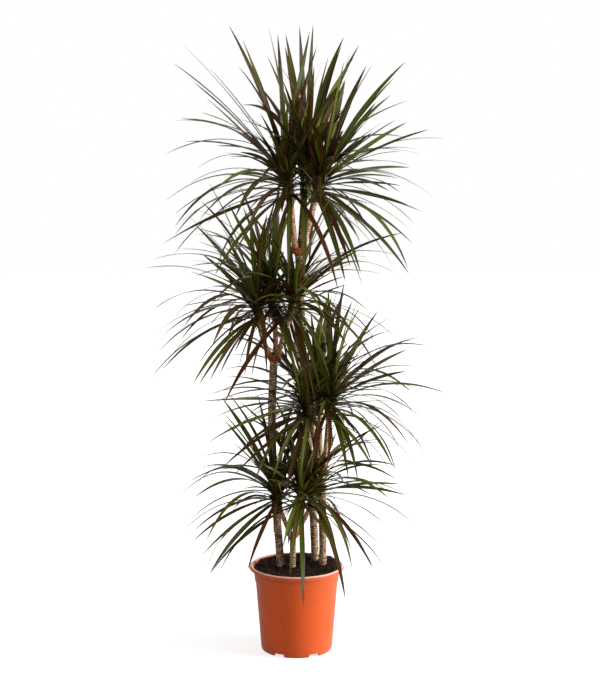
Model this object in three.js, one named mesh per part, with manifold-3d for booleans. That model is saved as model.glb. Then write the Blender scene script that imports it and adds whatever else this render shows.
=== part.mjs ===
// A potted Madagascar dragon tree (Dracaena marginata), built as it is grown and sold: four rooted
// canes of stepped heights in one nursery pot, three side shoots on each sawn cane top, and a rosette
// of narrow leaves on every shoot.
//
// Units are millimetres. +Z is up, +X is to the right and the plant's front faces -Y. The origin is
// the centre of the pot's underside, on the surface that the pot stands on.
import * as THREE from "three";
import { mergeVertices } from "three/addons/utils/BufferGeometryUtils.js";
import Module from "manifold-3d";

const wasm = await Module();
wasm.setup();
const { Manifold } = wasm;

const UP = new THREE.Vector3(0, 0, 1);
const FRONT = new THREE.Vector3(0, -1, 0);
const DEGREE = Math.PI / 180;
const GAP = 0.3; // clearance left between two pieces that touch
const LEAF_GAP = 0.6; // least distance between two leaves that pass each other

// ---------------------------------------------------------------------------------------------
// Driving dimensions
// ---------------------------------------------------------------------------------------------

const POT = {
  sides: 32,
  height: 218,
  rimRadius: 120, // outside of the rolled rim
  rimInnerRadius: 111.5,
  rimFoot: 208, // lower edge of the rolled rim
  collarTop: 205,
  collarTopRadius: 109,
  collarFoot: 178, // height of the step under the collar
  collarFootRadius: 105.5,
  bodyTop: 175,
  bodyTopRadius: 103.5,
  footBend: 5, // height at which the wall turns in to the feet
  bodyFootRadius: 90,
  footRadius: 88,
  footThickness: 5,
  wall: 2.2,
  floorUnder: 5, // the floor stands this high on the feet
  floorThickness: 2.4,
  feet: 6,
  notchAngle: 18, // degrees of the base that each drain notch takes
  notchHeight: 8,
  notchInnerRadius: 79,
};

// The potting mix ends a little short of the wall at its surface. `level` is its height in the middle,
// and `heapBack` and `heapRight` are how much higher it is heaped at the rim on those sides.
const SOIL = { level: 212, heapBack: 6, heapRight: 4, lump: 1.2, shrink: 1.2, rings: [1, 0.66, 0.33] };

// Each cane: its radius, and the points that its centre line passes through from the buried end to
// the sawn top.
const CANE_SIDES = 10;
const CANE_STEP = 55; // length of one straight stretch of a cane's bark
const CANES = {
  tall: {
    radius: 10.2,
    points: [[47, 53, 78], [46, 52, 207], [41, 45, 380], [26, 32, 550], [11, 18, 875], [5, 14, 1022]],
  },
  left: {
    radius: 10.6,
    points: [[-37, 10, 78], [-40, 10, 207], [-58, 9, 450], [-62, 8, 600], [-56, 6, 757]],
  },
  right: { radius: 10, points: [[68, 14, 78], [67, 14, 207], [65, 12, 380], [62, 10, 472]] },
  short: { radius: 8.2, points: [[-10, -2, 78], [-10, -2, 207], [-9, -4, 303]] },
};

// The shoots of each cane. `points` run from the fork to the foot of the leaves, and `tip` is the end
// of the bud. `reach` is the usual straight distance from a leaf's base to its tip, and `zone` is the
// length of shoot that bears leaves.
const SHOOT_SIDES = 8;
const SHOOT_STEP = 40;
const SHOOTS = {
  tall: {
    radius: 8, reach: 350, leafWidth: 14.5, leaves: 36, zone: 86,
    sides: {
      left: { points: [[0, 12, 1010], [-10, 8, 1072], [-15, 4, 1142]], tip: [-25, 0, 1234] },
      right: { points: [[12, 14, 1010], [29, 10, 1078], [44, 6, 1140]], tip: [71, 0, 1232] },
      back: { points: [[8, 22, 1012], [14, 40, 1080], [18, 48, 1148]], tip: [26, 58, 1244] },
    },
  },
  left: {
    radius: 6.5, reach: 325, leafWidth: 12.8, leaves: 31, zone: 82,
    sides: {
      left: { points: [[-62, 2, 746], [-84, -6, 796], [-93, -10, 838]], tip: [-101, -14, 926] },
      back: { points: [[-54, 14, 748], [-52, 30, 800], [-57, 38, 850]], tip: [-64, 44, 938] },
      right: { points: [[-48, 3, 746], [-34, -6, 800], [-17, -14, 852]], tip: [3, -22, 940] },
    },
  },
  right: {
    radius: 6.5, reach: 310, leafWidth: 12.8, leaves: 30, zone: 80,
    sides: {
      left: { points: [[56, 6, 462], [44, -4, 540], [36, -8, 590]], tip: [24, -14, 674] },
      back: { points: [[61, 18, 464], [59, 36, 540], [58, 44, 600]], tip: [56, 54, 690] },
      right: { points: [[69, 6, 462], [76, 0, 545], [80, -3, 600]], tip: [88, -6, 688] },
    },
  },
  short: {
    radius: 6, reach: 285, leafWidth: 12.8, leaves: 27, zone: 66,
    sides: {
      left: { points: [[-14, -8, 294], [-31, -14, 338], [-44, -18, 372]], tip: [-56, -22, 446] },
      front: { points: [[-6, -10, 295], [4, -26, 334], [10, -36, 368]], tip: [13, -44, 446] },
      right: { points: [[-3, -1, 294], [20, 0, 336], [36, 0, 370]], tip: [46, -2, 446] },
    },
  },
};

// Three sheaths of leaf bases wrap the leaf-bearing top of a shoot, one for each tier of leaves. The
// youngest closes over the bud, and each older one is thicker.
const SHEATH_SIDES = 6;
const SHEATH_FLAT = Math.cos(Math.PI / SHEATH_SIDES); // of a sheath's radius, how far out its flats are
const TIERS = [
  { name: "young", share: 0.3, wall: 1.8 },
  { name: "middle", share: 0.35, wall: 4 },
  { name: "old", share: 0.35, wall: 6.2 },
];

// Height of the bud's domed end, and of the top of the shoot that bears no leaf.
const BUD = { dome: 10, leafless: 12 };

// A leaf blade is three-sided: a flat upper face and a keel under the midrib. `at` are the shares of
// its length where it bends, and `width` its width there, as a share of the greatest.
const BLADE = { keel: 1.3, inset: 1.8, at: [0, 0.2, 0.46, 0.74], width: [0.3, 0.86, 1, 0.68] };
const TWIST_DONE = 0.45; // a blade has its whole twist this far along
const WIDTH_RANGE = [0.84, 1.12]; // narrowest and widest blade, as shares of the shoot's leafWidth

// Leaves whose tips are placed one by one. Each row gives where the tip is seen, in x and z on the
// plane through the pot's axis, looking from EYE; how far the blade's middle stands above the
// straight line to its tip; the twist in degrees that turns the upper face to the front; and the
// side it leans to, -1 for the front and 1 for the back.
const EYE = new THREE.Vector3(0, -4500, 1500);
const PLACED = {
  tall: {
    left: [
      [-165, 1566, 14, 50, -1], [-133, 1535, 8, 20, 1], [-70, 1566, 12, 30, -1], [-46, 1545, 5, 20, 1],
      [32, 1550, 10, 10, 1], [48, 1508, 12, 30, -1], [-278, 1520, 14, 10, 1], [-215, 1465, 12, 35, -1],
      [-301, 1475, 18, 10, 1], [-253, 1430, 12, 10, -1], [-222, 1392, 6, 55, -1], [-235, 1355, 30, 15, -1],
      [-180, 1257, 18, 8, -1], [-327, 1135, 48, 12, 1], [-300, 1075, 62, 12, -1], [-196, 1170, 38, 30, -1],
      [-241, 1089, 46, 30, -1], [-300, 1055, 48, 10, 1], [-332, 1032, 14, 60, -1], [-302, 1007, 40, 10, 1],
      [-205, 950, 24, 20, -1], [-199, 965, 48, 15, 1], [-130, 1040, 45, 50, -1], [-20, 930, 45, 20, -1],
      [-75, 990, 35, 30, 1],
    ],
    back: [
      [7, 1563, 6, 15, 1], [40, 1568, 8, 10, 1], [-27, 1545, 8, 20, 1], [-28, 1515, 6, 10, 1],
      [115, 1537, 22, 8, 1], [110, 1518, 14, 10, 1], [43, 1468, 6, 15, -1], [152, 1518, 14, 25, 1],
      [-302, 1335, 42, 10, 1], [-275, 1284, 28, 8, 1], [-302, 1105, 40, 8, 1], [300, 1266, 30, 12, 1],
      [278, 1226, 28, 15, 1], [242, 1198, 22, 25, 1], [207, 1150, 30, 10, 1], [283, 1065, 26, 12, 1],
      [238, 975, 30, 8, 1], [203, 1050, 20, 10, 1], [157, 1040, 20, 10, 1], [166, 918, 24, 20, 1],
    ],
    right: [
      [115, 1478, 6, 55, -1], [118, 1430, 5, 20, 1], [183, 1470, 14, 45, -1], [170, 1468, 12, 15, 1],
      [265, 1478, 16, 25, 1], [238, 1440, 12, 50, -1], [230, 1397, 18, 10, 1], [203, 1370, 6, 60, -1],
      [194, 1380, 6, 10, 1], [243, 1338, 10, 15, -1], [270, 1332, 8, 35, 1], [324, 1314, 14, 45, -1],
      [255, 1260, 20, 10, -1], [240, 1207, 22, 10, -1], [252, 1194, 16, 25, -1], [229, 1162, 24, 20, -1],
      [272, 1130, 10, 55, -1], [310, 1112, 14, 50, -1], [286, 1034, 22, 25, -1], [279, 957, 26, 20, -1],
      [199, 1050, 14, 30, -1], [121, 938, 18, 25, -1], [159, 958, 30, 35, -1], [133, 975, 20, 40, -1],
    ],
  },
  left: {
    left: [
      [-217, 1187, 12, 50, -1], [-184, 1075, 10, 50, -1], [-275, 1108, 16, 30, -1], [-252, 1083, 10, 12, 1],
      [-218, 1045, 8, 10, 1], [-264, 965, 6, 60, -1], [-195, 953, 8, 10, 1], [-360, 865, 48, 12, 1],
      [-283, 823, 52, 30, -1], [-340, 797, 36, 12, -1], [-320, 790, 30, 20, 1], [-253, 858, 14, 12, -1],
      [-337, 715, 30, 35, -1], [-210, 778, 44, 25, -1], [-170, 800, 40, 20, 1], [-258, 683, 24, 25, -1],
      [-245, 678, 18, 40, -1], [-218, 687, 20, 55, -1], [-192, 705, 16, 20, 1], [-153, 745, 10, 30, -1],
      [-130, 702, 20, 20, -1],
    ],
    back: [
      [-75, 1110, 6, 55, -1], [-113, 1128, 8, 20, 1], [-132, 1125, 12, 45, 1], [-55, 1075, 5, 15, 1],
      [-33, 1065, 5, 20, -1], [-42, 1110, 5, 30, 1], [-168, 1133, 6, 20, 1], [-320, 828, 62, 8, 1],
      [-378, 785, 44, 12, 1], [-315, 750, 36, 8, 1], [-225, 803, 16, 8, 1], [-283, 878, 10, 10, 1],
      [10, 650, 26, 40, -1], [-20, 700, 30, 30, 1],
    ],
    right: [
      [75, 1112, 12, 50, -1], [103, 1055, 10, 20, 1], [165, 1033, 14, 25, -1], [157, 1020, 12, 20, 1],
      [165, 996, 12, 15, -1], [-20, 1060, 5, 20, 1], [20, 1080, 6, 25, 1], [207, 706, 52, 15, -1],
      [140, 815, 30, 40, -1], [125, 780, 30, 40, -1], [85, 690, 30, 30, -1], [60, 660, 26, 45, -1],
      [45, 640, 24, 40, -1], [-183, 628, 20, 50, -1], [30, 650, 20, 35, -1], [190, 800, 40, 10, 1],
    ],
  },
  right: {
    left: [
      [-242, 638, 8, 20, -1], [-155, 647, 10, 8, 1], [-217, 592, 24, 20, -1], [-150, 585, 22, 20, 1],
      [-205, 583, 24, 8, 1], [-125, 578, 14, 15, -1], [-228, 528, 22, 30, -1], [-188, 467, 16, 30, -1],
      [-160, 447, 12, 50, -1], [-197, 712, 46, 15, 1], [-190, 702, 20, 8, 1], [-15, 845, 8, 50, -1],
      [5, 850, 8, 30, 1], [-60, 440, 34, 50, -1], [-28, 398, 26, 20, -1], [10, 440, 24, 45, -1],
    ],
    back: [
      [60, 850, 5, 60, -1], [80, 872, 6, 30, 1], [35, 860, 6, 40, 1], [139, 893, 8, 25, 1],
      [265, 590, 40, 8, 1], [325, 490, 60, 8, 1], [260, 510, 50, 10, 1], [250, 455, 50, 8, 1],
      [330, 655, 40, 12, 1], [294, 610, 52, 10, 1],
    ],
    right: [
      [203, 868, 12, 35, 1], [226, 850, 8, 30, -1], [152, 895, 8, 55, -1], [132, 862, 6, 50, -1],
      [317, 803, 32, 25, 1], [263, 792, 10, 35, -1], [276, 770, 14, 30, 1], [273, 715, 10, 50, -1],
      [378, 657, 36, 20, -1], [187, 576, 18, 20, 1], [283, 525, 46, 20, -1], [245, 465, 40, 15, -1],
      [190, 475, 30, 15, 1], [155, 430, 40, 45, -1], [131, 437, 30, 30, -1],
    ],
  },
  short: {
    left: [
      [-262, 462, 38, 20, 1], [-252, 427, 60, 8, 1], [-260, 390, 40, 20, -1], [-230, 275, 60, 30, -1],
      [-290, 300, 34, 15, 1], [-262, 303, 26, 25, -1], [-265, 275, 22, 40, -1], [-245, 235, 16, 40, -1],
      [-202, 270, 12, 25, 1], [-220, 195, 20, 60, -1], [-125, 200, 16, 40, -1], [-185, 645, 12, 20, 1],
      [-185, 612, 8, 10, -1], [-180, 590, 8, 8, 1], [-160, 533, 8, 15, -1], [-98, 658, 6, 20, 1],
      [-60, 640, 5, 40, -1],
    ],
    front: [
      [17, 105, 30, 40, -1], [-35, 262, 20, 30, -1], [-17, 185, 30, 30, -1], [-222, 190, 22, 45, -1],
      [0, 640, 5, 40, 1], [30, 650, 5, 40, -1], [-30, 600, 6, 30, 1], [60, 600, 6, 30, 1],
    ],
    right: [
      [213, 590, 6, 35, -1], [252, 473, 36, 25, -1], [275, 398, 16, 30, -1], [220, 325, 18, 12, 1],
      [240, 235, 14, 8, 1], [193, 207, 26, 30, -1], [197, 205, 20, 12, 1], [124, 125, 30, 35, -1],
      [100, 560, 6, 30, 1], [140, 250, 24, 12, 1],
    ],
  },
};

// The other leaves follow the plant's own habit: each sits a golden angle round from the one before,
// and they lean from upright at the bud to well below level at the foot of the rosette.
const GOLDEN_ANGLE = 137.508;
const HABIT = {
  leanTop: 7, leanFoot: 132, // degrees of the straight line to the tip from upright
  archTop: 5, archMiddle: 52, archFoot: 34,
  reachTop: 0.82, reachMiddle: 1.02, reachFoot: 0.9, // shares of the shoot's usual reach
  jitter: 0.07, // how far lean and reach vary, as a share
  archJitter: 0.35,
  turnJitter: 40, // degrees
  twist: 25, // degrees, at most
};
const SPREAD = { x: 372, y: 346 }; // no leaf reaches further than this from the pot's axis
const TOP = 1566; // height of the highest leaf tip
const LOWEST = 60; // no leaf hangs lower than this

// How a leaf that would touch another piece is moved until it clears it, nearest places first.
const DEPTH_SHIFTS = [0, 14, -14, 28, -28, 45, -45, 65, -65, 90, -90, 120, -120, 160, -160];
const ARCH_SHIFTS = [0, 9, -7, 18];
const TURN_SHIFTS = [0, 6, -6, 12, -12, 19, -19, 27, -27, 36, -36, 50, -50];
const LEAN_SHIFTS = [0, 5, -5, 10, -10];

const COLOURS = {
  pot: { color: 0xbf5226, roughness: 0.42 },
  soil: { color: 0x2a1c15, roughness: 0.95 },
  cane: { color: 0x8a6a4a, roughness: 0.85 },
  shoot: { color: 0x96603a, roughness: 0.8 },
  young: { color: 0x4c6a1c, roughness: 0.4 },
  middle: { color: 0x34501a, roughness: 0.42 },
  old: { color: 0x3b3a1f, roughness: 0.45 },
};

// ---------------------------------------------------------------------------------------------
// Solids and geometries
// ---------------------------------------------------------------------------------------------

const vector = ([x, y, z]) => new THREE.Vector3(x, y, z);
const mix = THREE.MathUtils.lerp;

/** A closed three.js geometry as a solid that can be cut and joined. */
function solidOf(geometry) {
  const bare = geometry.clone();
  bare.deleteAttribute("normal");
  bare.deleteAttribute("uv");
  const merged = mergeVertices(bare, 1e-4);
  const corners = merged.index.array;
  const triangles = [];
  for (let i = 0; i < corners.length; i += 3) {
    const [a, b, c] = corners.slice(i, i + 3);
    if (a !== b && b !== c && c !== a) triangles.push([a, b, c]);
  }
  const build = (list) =>
    new Manifold(
      new wasm.Mesh({
        numProp: 3,
        vertProperties: merged.attributes.position.array,
        triVerts: Uint32Array.from(list.flat()),
      }),
    );
  const solid = build(triangles);
  return solid.volume() > 0 ? solid : build(triangles.map(([a, b, c]) => [a, c, b]));
}

/** A solid back as a three.js geometry. */
function geometryOf(solid) {
  const mesh = solid.getMesh();
  const geometry = new THREE.BufferGeometry();
  geometry.setAttribute("position", new THREE.BufferAttribute(mesh.vertProperties, mesh.numProp));
  geometry.setIndex(new THREE.BufferAttribute(mesh.triVerts, 1));
  geometry.computeVertexNormals();
  return geometry;
}

/** Turn an outline of [radius, height] points about +Z. */
function turned(outline, sides) {
  const points = outline.map(([radius, height]) => new THREE.Vector2(radius, height));
  return new THREE.LatheGeometry(points, sides).rotateX(Math.PI / 2);
}

/** A round bar along a smooth line through the given points. */
function barAlong(points, radius, sides, step) {
  const line = new THREE.CatmullRomCurve3(points, false, "centripetal");
  const section = Array.from({ length: sides }, (_, i) => {
    const angle = (i / sides) * 2 * Math.PI;
    return new THREE.Vector2(radius * Math.cos(angle), radius * Math.sin(angle));
  });
  const steps = Math.max(2, Math.round(line.getLength() / step));
  const sweep = { extrudePath: line, steps, bevelEnabled: false };
  return new THREE.ExtrudeGeometry(new THREE.Shape(section), sweep);
}

/** The largest of the bodies that a cut leaves. */
function largestPart(solid) {
  const parts = solid.decompose();
  return parts.reduce((best, part) => (part.volume() > best.volume() ? part : best));
}

/** Repeatable random numbers from 0 to 1. */
function randomNumbers(seed) {
  let state = seed;
  return () => {
    state = (state * 1664525 + 1013904223) % 4294967296;
    return state / 4294967296;
  };
}

// ---------------------------------------------------------------------------------------------
// Pot and soil
// ---------------------------------------------------------------------------------------------

/** The inside of the pot's wall from the floor to the collar's top, taken in by a clearance. */
function insideWall(clearance) {
  const inset = POT.wall + clearance / Math.cos(Math.PI / POT.sides);
  const floorTop = POT.floorUnder + POT.floorThickness + clearance;
  return [
    [POT.bodyFootRadius - inset, floorTop],
    [POT.bodyTopRadius - inset, POT.bodyTop],
    [POT.collarFootRadius - inset, POT.collarFoot + 1],
    [POT.collarTopRadius - inset, POT.collarTop],
  ];
}

function makePot() {
  const inside = insideWall(0);
  const shell = turned(
    [
      [0, POT.floorUnder],
      [POT.footRadius - POT.footThickness, POT.floorUnder],
      [POT.footRadius - POT.footThickness, 0],
      [POT.footRadius, 0],
      [POT.bodyFootRadius, POT.footBend],
      [POT.bodyTopRadius, POT.bodyTop],
      [POT.collarFootRadius, POT.collarFoot],
      [POT.collarTopRadius, POT.collarTop],
      [POT.rimRadius - 4, POT.rimFoot],
      [POT.rimRadius, POT.rimFoot + 3],
      [POT.rimRadius - 1, POT.height - 3],
      [POT.rimRadius - 5, POT.height],
      [POT.rimInnerRadius, POT.height - 1],
      ...inside.reverse(),
      [0, inside.at(-1)[1]],
    ],
    POT.sides,
  );
  // One drain notch is a wedge of the base, cut through the feet and the floor's edge.
  const half = (POT.notchAngle / 2) * DEGREE;
  const corner = (radius, angle) => new THREE.Vector2(radius * Math.cos(angle), radius * Math.sin(angle));
  const outer = POT.bodyFootRadius + 10;
  const wedge = new THREE.Shape([
    corner(POT.notchInnerRadius, -half),
    corner(outer, -half),
    corner(outer, half),
    corner(POT.notchInnerRadius, half),
  ]);
  let pot = solidOf(shell);
  for (let i = 0; i < POT.feet; i++) {
    const notch = new THREE.ExtrudeGeometry(wedge, { depth: POT.notchHeight + 1, bevelEnabled: false });
    notch.translate(0, 0, -1).rotateZ((i * 360 * DEGREE) / POT.feet);
    pot = pot.subtract(solidOf(notch));
  }
  return pot;
}

/** The soil's surface: heaped towards the back and the right, with small lumps. */
function soilSurface(x, y) {
  const heap = (SOIL.heapBack * y + SOIL.heapRight * x) / POT.rimInnerRadius;
  const lumps = Math.sin(x / 9) * Math.cos(y / 11) + Math.sin((x - 2 * y) / 23);
  return SOIL.level + heap + SOIL.lump * lumps;
}

function makeSoil(canes) {
  const wall = insideWall(GAP);
  const edge = wall.at(-1)[0] - SOIL.shrink;
  const top = SOIL.rings.map((share) => [edge * share, SOIL.level]);
  const body = turned([[0, wall[0][1]], ...wall.slice(0, -1), ...top, [0, SOIL.level]], POT.sides);
  const place = body.attributes.position;
  for (let i = 0; i < place.count; i++) {
    if (place.getZ(i) > POT.collarFoot + 2) place.setZ(i, soilSurface(place.getX(i), place.getY(i)));
  }
  return canes.reduce((soil, cane) => soil.subtract(cane.hole), solidOf(body));
}

// ---------------------------------------------------------------------------------------------
// Canes and shoots
// ---------------------------------------------------------------------------------------------

function makeCane({ radius, points }) {
  const route = points.map(vector);
  const below = route[0].clone().setZ(route[0].z - 2 * GAP);
  return {
    solid: solidOf(barAlong(route, radius, CANE_SIDES, CANE_STEP)),
    hole: solidOf(barAlong([below, ...route], radius + 1.5 * GAP, CANE_SIDES, CANE_STEP)),
  };
}

/** Where a shoot's leaves grow: the foot of its leaf zone, its direction, and a point up it. */
function leafZone(side, zone) {
  const tip = vector(side.tip);
  const along = tip.clone().sub(vector(side.points.at(-1))).normalize();
  const foot = tip.clone().addScaledVector(along, -zone);
  return { along, foot, tip, length: zone, at: (height) => foot.clone().addScaledVector(along, height) };
}

/** The bare and leafy stem of a shoot, up to the bud, with its fork end fitted to what it grows from. */
function makeShoot(side, radius, zone, budHeight, neighbours) {
  const route = [...side.points.map(vector), zone.at(budHeight / 2), zone.at(budHeight - GAP)];
  const stem = solidOf(barAlong(route, radius, SHOOT_SIDES, SHOOT_STEP));
  const grown = solidOf(barAlong(route, radius + GAP, SHOOT_SIDES, SHOOT_STEP));
  const fitted = neighbours.reduce((rest, other) => rest.subtract(other), stem);
  return { solid: largestPart(fitted), grown };
}

/** One tier's sheath of leaf bases round the stem. The youngest tier closes over the bud. */
function makeSheath(zone, low, high, stemRadius, outer, closed) {
  const inner = (stemRadius + 2 * GAP) / SHEATH_FLAT;
  const outline = closed
    ? [[0, low], [outer, low], [outer, high - BUD.dome], [outer * 0.6, high - BUD.dome / 3], [0, high]]
    : [[inner, low], [outer, low], [outer, high], [inner, high], [inner, low]];
  const place = new THREE.Matrix4().compose(
    zone.foot,
    new THREE.Quaternion().setFromUnitVectors(UP, zone.along),
    new THREE.Vector3(1, 1, 1),
  );
  return solidOf(turned(outline, SHEATH_SIDES).applyMatrix4(place));
}

// ---------------------------------------------------------------------------------------------
// Leaves
// ---------------------------------------------------------------------------------------------

/** Where a tip lies whose place is seen from EYE on the plane y = 0, once it is y deep. */
function alongSight([x, z], y) {
  const seen = new THREE.Vector3(x, 0, z);
  return seen.clone().sub(EYE).multiplyScalar(y / -EYE.y).add(seen);
}

/** The depth at which a tip that is seen at a place is a leaf's reach from its base. */
function depthFor(row, base, reach) {
  const flat = alongSight(row, 0);
  const step = alongSight(row, 1).sub(flat);
  const offset = flat.clone().sub(base);
  const a = step.lengthSq();
  const b = 2 * offset.dot(step);
  const c = offset.lengthSq() - reach * reach;
  const root = Math.sqrt(Math.max(0, b * b - 4 * a * c));
  return (-b + row[4] * root) / (2 * a);
}

/** The unit direction in which a leaf leaves its shoot, level with the ground. */
function outwardOf(base, tip) {
  const outward = tip.clone().sub(base).setZ(0);
  return outward.length() > 1 ? outward.normalize() : FRONT.clone();
}

/** A leaf blade from a shoot's sheath to its tip, with the rings of corners it is built on. */
function makeBlade(centre, zone, wallRadius, leaf) {
  const outward = outwardOf(centre, leaf.tip);
  const radial = outward.clone().addScaledVector(zone.along, -outward.dot(zone.along)).normalize();
  const start = centre.clone().addScaledVector(radial, wallRadius - BLADE.inset);
  const chord = leaf.tip.clone().sub(start);
  const rise = UP.clone().addScaledVector(chord, -chord.z / chord.lengthSq());
  const lift = rise.length() > 0.05 ? rise.normalize() : outward.clone().negate();
  const middle = start.clone().add(leaf.tip).multiplyScalar(0.5).addScaledVector(lift, 2 * leaf.arch);
  const line = new THREE.QuadraticBezierCurve3(start, middle, leaf.tip);
  const across = UP.clone().cross(outward);
  const towardsFront = across.dot(FRONT) >= 0 ? 1 : -1;
  const rings = BLADE.at.map((share, i) => {
    const point = line.getPoint(share);
    const face = line.getTangent(share).cross(across);
    const twist = leaf.twist * DEGREE * Math.min(1, share / TWIST_DONE) * towardsFront;
    const edge = across.clone().multiplyScalar(Math.cos(twist)).addScaledVector(face, -Math.sin(twist));
    const under = face.multiplyScalar(-Math.cos(twist)).addScaledVector(across, -Math.sin(twist));
    const half = (leaf.width * BLADE.width[i]) / 2;
    return [
      point.clone().addScaledVector(edge, half),
      point.clone().addScaledVector(edge, -half),
      point.clone().addScaledVector(under, BLADE.keel),
    ];
  });
  const whole = solidOf(bladeGeometry(rings, leaf.tip));
  const free = solidOf(bladeGeometry(rings.slice(1), leaf.tip));
  return { whole, free, box: whole.boundingBox() };
}

/** Two triangles between two rings, split along the diagonal that bulges, so no wall dips into another. */
function stripOf(corners, a, b) {
  const [first, second, third, fourth] = [a, b, b + 3, a + 3].map((i) => corners[i]);
  const outwards = second.clone().sub(first).cross(fourth.clone().sub(first));
  const bulge = first.clone().add(third).sub(second).sub(fourth);
  return bulge.dot(outwards) > 0
    ? [[a, b, b + 3], [a, b + 3, a + 3]]
    : [[a, b, a + 3], [b, b + 3, a + 3]];
}

/** A three-sided blade through rings of three corners, closed by a flat base and a pointed tip. */
function bladeGeometry(rings, tip) {
  const corners = [...rings.flat(), tip];
  const triangles = [[0, 2, 1]];
  for (let ring = 0; ring < rings.length; ring++) {
    for (let i = 0; i < 3; i++) {
      const a = 3 * ring + i;
      const b = 3 * ring + ((i + 1) % 3);
      if (ring + 1 < rings.length) triangles.push(...stripOf(corners, a, b));
      else triangles.push([a, b, corners.length - 1]);
    }
  }
  return new THREE.BufferGeometry().setFromPoints(corners).setIndex(triangles.flat());
}

function boxesNear(a, b, gap) {
  return [0, 1, 2].every((axis) => a.min[axis] - gap < b.max[axis] && b.min[axis] - gap < a.max[axis]);
}

/** Whether a blade clears every piece that stands already. */
function clears(blade, owner, pieces) {
  return pieces.every((piece) => {
    if (piece.owner === owner) {
      // Blades of one tier grow out of one sheath, so only their free stretches have to pass.
      return !piece.free || !boxesNear(blade.box, piece.box, LEAF_GAP)
        || blade.free.minGap(piece.free, LEAF_GAP) >= LEAF_GAP;
    }
    const gap = piece.free ? LEAF_GAP : GAP;
    return !boxesNear(blade.box, piece.box, gap) || blade.whole.minGap(piece.whole, gap) >= gap;
  });
}

/** The places to try for a leaf whose tip is seen at a given place: deeper, shallower, more arched. */
function* placedLeaves(row, centre, shoot, width) {
  const depth = depthFor(row, centre, shoot.reach);
  for (const arch of ARCH_SHIFTS) {
    for (const shift of DEPTH_SHIFTS) {
      const tip = alongSight(row, depth + shift);
      if (Math.abs(tip.y) < SPREAD.y) yield { tip, arch: row[2] + arch, twist: row[3], width };
    }
  }
}

/** The places to try for a leaf that follows the plant's habit: turned, then raised or lowered. */
function* habitLeaves(plan, centre) {
  for (const leanShift of LEAN_SHIFTS) {
    for (const turnShift of TURN_SHIFTS) {
      const lean = (plan.lean + leanShift) * DEGREE;
      const turn = (plan.turn + turnShift) * DEGREE;
      const level = plan.reach * Math.sin(lean);
      const tip = centre.clone().add(
        new THREE.Vector3(level * Math.cos(turn), level * Math.sin(turn), plan.reach * Math.cos(lean)),
      );
      const inside = Math.abs(tip.x) < SPREAD.x && Math.abs(tip.y) < SPREAD.y;
      if (inside && tip.z < TOP && tip.z > LOWEST) {
        yield { tip, arch: plan.arch, twist: plan.twist, width: plan.width };
      }
    }
  }
}

/** What the plant's habit gives for a leaf that is a share of the way down its rosette. */
function habitPlan(share, index, shoot, random) {
  const vary = (amount) => 1 + amount * (2 * random() - 1);
  const bend = (top, middle, foot) =>
    share < 0.5 ? mix(top, middle, share * 2) : mix(middle, foot, share * 2 - 1);
  return {
    lean: mix(HABIT.leanTop, HABIT.leanFoot, share ** 0.9) * vary(HABIT.jitter),
    turn: index * GOLDEN_ANGLE + HABIT.turnJitter * random(),
    reach: shoot.reach * bend(HABIT.reachTop, HABIT.reachMiddle, HABIT.reachFoot) * vary(HABIT.jitter),
    arch: bend(HABIT.archTop, HABIT.archMiddle, HABIT.archFoot) * vary(HABIT.archJitter),
    twist: HABIT.twist * random(),
  };
}

/** All leaves of one shoot, in order from the bud down, each with its height and its tier. */
function planLeaves(shoot, rows, zone, seed) {
  const random = randomNumbers(seed);
  const heart = zone.at(zone.length * 0.5);
  const placed = rows.map((row) => {
    const tip = alongSight(row, depthFor(row, heart, shoot.reach));
    return { row, lean: tip.sub(heart).angleTo(UP) / DEGREE };
  });
  const others = Math.max(0, shoot.leaves - placed.length);
  const habit = Array.from({ length: others }, (_, i) => habitPlan((i + 0.5) / others, i, shoot, random));
  const leaves = [...placed, ...habit].sort((a, b) => a.lean - b.lean);
  for (const leaf of leaves) leaf.width = shoot.leafWidth * mix(...WIDTH_RANGE, random());
  const heights = leaves.map((_, i) => (zone.length - BUD.leafless) * (1 - (i + 0.7) / leaves.length));
  let first = 0;
  return TIERS.map((tier, t) => {
    const last = t + 1 < TIERS.length ? first + Math.round(leaves.length * tier.share) : leaves.length;
    const own = leaves.slice(first, last).map((leaf, i) => ({ ...leaf, height: heights[first + i] }));
    const top = first === 0 ? zone.length : (heights[first] + heights[first - 1]) / 2 - GAP / 2;
    const foot = last === leaves.length ? 0 : (heights[last] + heights[last - 1]) / 2 + GAP / 2;
    first = last;
    return { ...tier, leaves: own, foot, top };
  });
}

// ---------------------------------------------------------------------------------------------
// The plant
// ---------------------------------------------------------------------------------------------

function meshOf(name, solid, { color, roughness }) {
  const material = new THREE.MeshStandardMaterial({ color, roughness, metalness: 0 });
  const mesh = new THREE.Mesh(geometryOf(solid), material);
  mesh.name = name;
  return mesh;
}

const standing = []; // every piece that a new leaf has to clear

function stand(owner, solid) {
  standing.push({ owner, whole: solid, box: solid.boundingBox() });
  return solid;
}

const plant = new THREE.Group();
const canes = Object.entries(CANES).map(([name, cane]) => ({ name, ...makeCane(cane) }));

plant.add(meshOf("pot", stand("pot", makePot()), COLOURS.pot));
plant.add(meshOf("potting_soil", stand("potting_soil", makeSoil(canes)), COLOURS.soil));

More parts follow.
